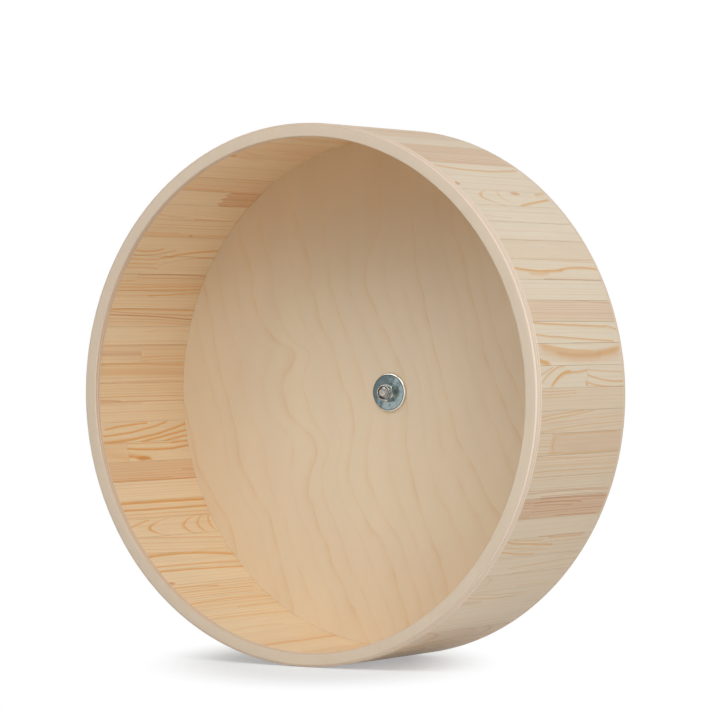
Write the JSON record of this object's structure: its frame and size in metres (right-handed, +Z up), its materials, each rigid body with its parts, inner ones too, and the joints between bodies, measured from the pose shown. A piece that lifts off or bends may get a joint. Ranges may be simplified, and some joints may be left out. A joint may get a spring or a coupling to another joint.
{
  "type": "rodent exercise wheel",
  "caption": "Open-fronted wooden running drum of pine staves with a plywood ring and rear panel, turning on ball bearings round an axle that bolts to a cage wall.",
  "frame": {"origin": "on the axle, in the plane of the wall washer's rear face, which seats on the cage's wall", "axes": "+Y along the axle into the cage's wall, -Y out of the drum's open side, +Z up, +X to the right as seen from the open side"},
  "size_m": [0.4, 0.1852, 0.4],
  "materials": {
    "ring_plywood": "sanded, bare",
    "pine_staves": "sanded, bare",
    "panel_plywood": "sanded, bare",
    "hub_plywood": "sanded, bare",
    "screw_zinc": "zinc plated",
    "bearing_steel": "ground",
    "shield_steel": "pressed sheet",
    "ball_steel": "polished",
    "cage_nylon": "moulded",
    "spacer_steel": "turned",
    "axle_steel": "zinc plated",
    "washer_zinc": "blue zinc plated",
    "nut_zinc": "blue zinc plated",
    "insert_nylon": "moulded"
  },
  "bodies": {
    "axle": {"axle": "axle_steel", "large_washer": "washer_zinc", "lock_nut": "nut_zinc", "nylon_insert": "insert_nylon", "front_shim": "spacer_steel", "front_inner_ring": "bearing_steel", "centre_spacer": "spacer_steel", "rear_inner_ring": "bearing_steel", "rear_shim": "spacer_steel", "shoulder_nut": "nut_zinc", "wall_washer": "washer_zinc"},
    "wheel": {"front_ring": "ring_plywood", "staves_01": "pine_staves", "staves_02": "pine_staves", "staves_03": "pine_staves", "staves_04": "pine_staves", "staves_05": "pine_staves", "staves_06": "pine_staves", "staves_07": "pine_staves", "staves_08": "pine_staves", "staves_09": "pine_staves", "staves_10": "pine_staves", "staves_11": "pine_staves", "rear_panel": "panel_plywood", "hub_block": "hub_plywood", "hub_screws": "screw_zinc", "front_outer_ring": "bearing_steel", "front_shields": "shield_steel", "rear_outer_ring": "bearing_steel", "rear_shields": "shield_steel"},
    "front_cage": {"front_balls": "ball_steel", "front_ball_cage": "cage_nylon"},
    "rear_cage": {"rear_balls": "ball_steel", "rear_ball_cage": "cage_nylon"}
  },
  "joints": [
    {"name": "wheel_spin", "type": "hinge", "parent": "axle", "child": "wheel", "pos_m": [0, -0.09, 0], "axis": [0, 1, 0], "continuous": true},
    {"name": "front_cage_spin", "type": "hinge", "parent": "axle", "child": "front_cage", "pos_m": [0, -0.028, 0], "axis": [0, 1, 0], "continuous": true},
    {"name": "rear_cage_spin", "type": "hinge", "parent": "axle", "child": "rear_cage", "pos_m": [0, -0.014, 0], "axis": [0, 1, 0], "continuous": true}
  ],
  "couplings": [
    {"joint": "front_cage_spin", "follows": "wheel_spin", "ratio": 0.6323},
    {"joint": "rear_cage_spin", "follows": "wheel_spin", "ratio": 0.6323}
  ]
}
